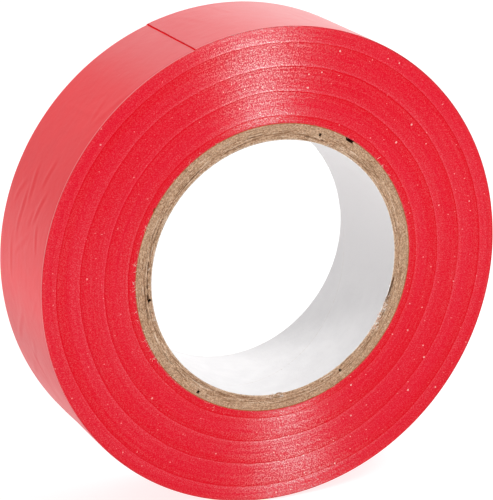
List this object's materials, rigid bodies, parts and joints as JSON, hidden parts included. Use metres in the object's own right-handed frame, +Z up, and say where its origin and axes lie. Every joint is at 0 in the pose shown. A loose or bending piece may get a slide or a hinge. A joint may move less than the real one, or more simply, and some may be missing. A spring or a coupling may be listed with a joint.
{
  "type": "electrical tape roll",
  "caption": "Roll of red PVC insulating tape wound on a white-lined brown paper core, with a cut end that lifts and peels away.",
  "frame": {"origin": "on the roll's axis, at mid width", "axes": "+Z up with the roll standing on its rim, roll axis along Y, front side face towards -Y; the cut end of the tape is on top, 110 degrees from +X towards +Z"},
  "size_m": [0.0739, 0.019, 0.0739],
  "materials": {
    "liner_paper": "smooth white lined paper, faintly satin",
    "core_board": "cut edge of brown kraft board, fibrous and matt",
    "pvc_film": "calendered soft PVC film, satin outside and slit-edge sheen on the sides",
    "adhesive": "pressure-sensitive rubber adhesive, glossy and clear over the red film"
  },
  "bodies": {
    "roll": {"core_liner": "liner_paper", "core_ply_1": "core_board", "core_ply_2": "core_board", "core_ply_3": "core_board", "core_ply_4": "core_board", "core_ply_5": "core_board", "tape_first_turn": "pvc_film", "tape_wound_turns": "pvc_film", "tape_last_turn_film": "pvc_film", "tape_last_turn_adhesive": "adhesive"},
    "tape_end_1": {"tape_end_film_1": "pvc_film", "tape_end_adhesive_1": "adhesive"},
    "tape_end_2": {"tape_end_film_2": "pvc_film", "tape_end_adhesive_2": "adhesive"},
    "tape_end_3": {"tape_end_film_3": "pvc_film", "tape_end_adhesive_3": "adhesive"},
    "tape_end_4": {"tape_end_film_4": "pvc_film", "tape_end_adhesive_4": "adhesive"},
    "tape_end_5": {"tape_end_film_5": "pvc_film", "tape_end_adhesive_5": "adhesive"},
    "tape_end_6": {"tape_end_film_6": "pvc_film", "tape_end_adhesive_6": "adhesive"}
  },
  "joints": [
    {"name": "tape_peel", "type": "hinge", "parent": "roll", "child": "tape_end_1", "pos_m": [0.02662, 0, 0.0257], "axis": [0, 1, 0], "range_deg": [0, 35]},
    {"name": "tape_curl_2", "type": "hinge", "parent": "tape_end_1", "child": "tape_end_2", "pos_m": [0.02122, 0, 0.03031], "axis": [0, 1, 0], "range_deg": [0, 14]},
    {"name": "tape_curl_3", "type": "hinge", "parent": "tape_end_2", "child": "tape_end_3", "pos_m": [0.01505, 0, 0.0338], "axis": [0, 1, 0], "range_deg": [0, 14]},
    {"name": "tape_curl_4", "type": "hinge", "parent": "tape_end_3", "child": "tape_end_4", "pos_m": [0.00832, 0, 0.03605], "axis": [0, 1, 0], "range_deg": [0, 14]},
    {"name": "tape_curl_5", "type": "hinge", "parent": "tape_end_4", "child": "tape_end_5", "pos_m": [0.00129, 0, 0.03698], "axis": [0, 1, 0], "range_deg": [0, 14]},
    {"name": "tape_curl_6", "type": "hinge", "parent": "tape_end_5", "child": "tape_end_6", "pos_m": [-0.00579, 0, 0.03654], "axis": [0, 1, 0], "range_deg": [0, 14]}
  ],
  "couplings": [
    {"joint": "tape_curl_2", "follows": "tape_peel", "ratio": 0.4},
    {"joint": "tape_curl_3", "follows": "tape_peel", "ratio": 0.4},
    {"joint": "tape_curl_4", "follows": "tape_peel", "ratio": 0.4},
    {"joint": "tape_curl_5", "follows": "tape_peel", "ratio": 0.4},
    {"joint": "tape_curl_6", "follows": "tape_peel", "ratio": 0.4}
  ]
}
